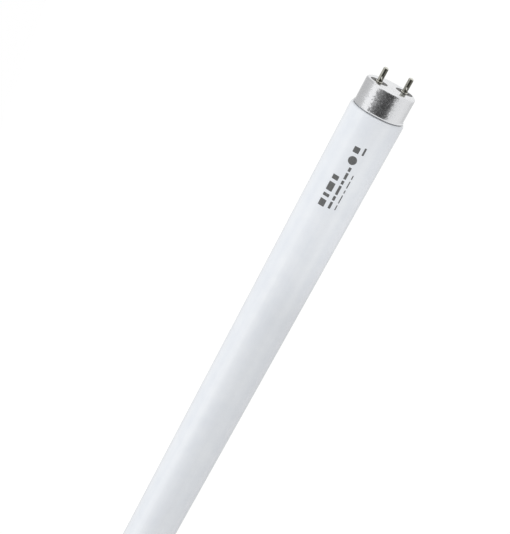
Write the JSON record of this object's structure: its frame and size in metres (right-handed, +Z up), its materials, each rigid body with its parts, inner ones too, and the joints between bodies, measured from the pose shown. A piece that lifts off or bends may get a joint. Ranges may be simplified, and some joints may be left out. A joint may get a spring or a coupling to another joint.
{
  "type": "fluorescent tube lamp",
  "caption": "Straight fluorescent tube lamp: a long opal white glass tube with a two-pin aluminium cap on each end, held and fed by its pins.",
  "frame": {"origin": "centre of the lamp, on the tube's axis and midway between the two cap faces", "axes": "+X along the tube towards the right-hand cap, +Z up along the line through a cap's two pins"},
  "size_m": [1.213, 0.026, 0.026],
  "materials": {
    "opal_glass": "smooth drawn glass, white coated inside",
    "aluminium": "bright drawn sheet",
    "phenolic": "dark pressed phenolic",
    "plated_brass": "nickel plated, dulled",
    "basing_cement": "cured, matt",
    "lead_wire": "drawn wire",
    "printing_ink": "dull stamped ink, on the drawn surface only"
  },
  "bodies": {
    "root": {"glass_tube": "opal_glass", "right_cap_shell": "aluminium", "right_insulator": "phenolic", "right_cement": "basing_cement", "right_pin_upper": "plated_brass", "right_pin_lower": "plated_brass", "right_lead_wire_upper": "lead_wire", "right_lead_wire_lower": "lead_wire", "left_cap_shell": "aluminium", "left_insulator": "phenolic", "left_cement": "basing_cement", "left_pin_upper": "plated_brass", "left_pin_lower": "plated_brass", "left_lead_wire_upper": "lead_wire", "left_lead_wire_lower": "lead_wire"}
  },
  "joints": []
}
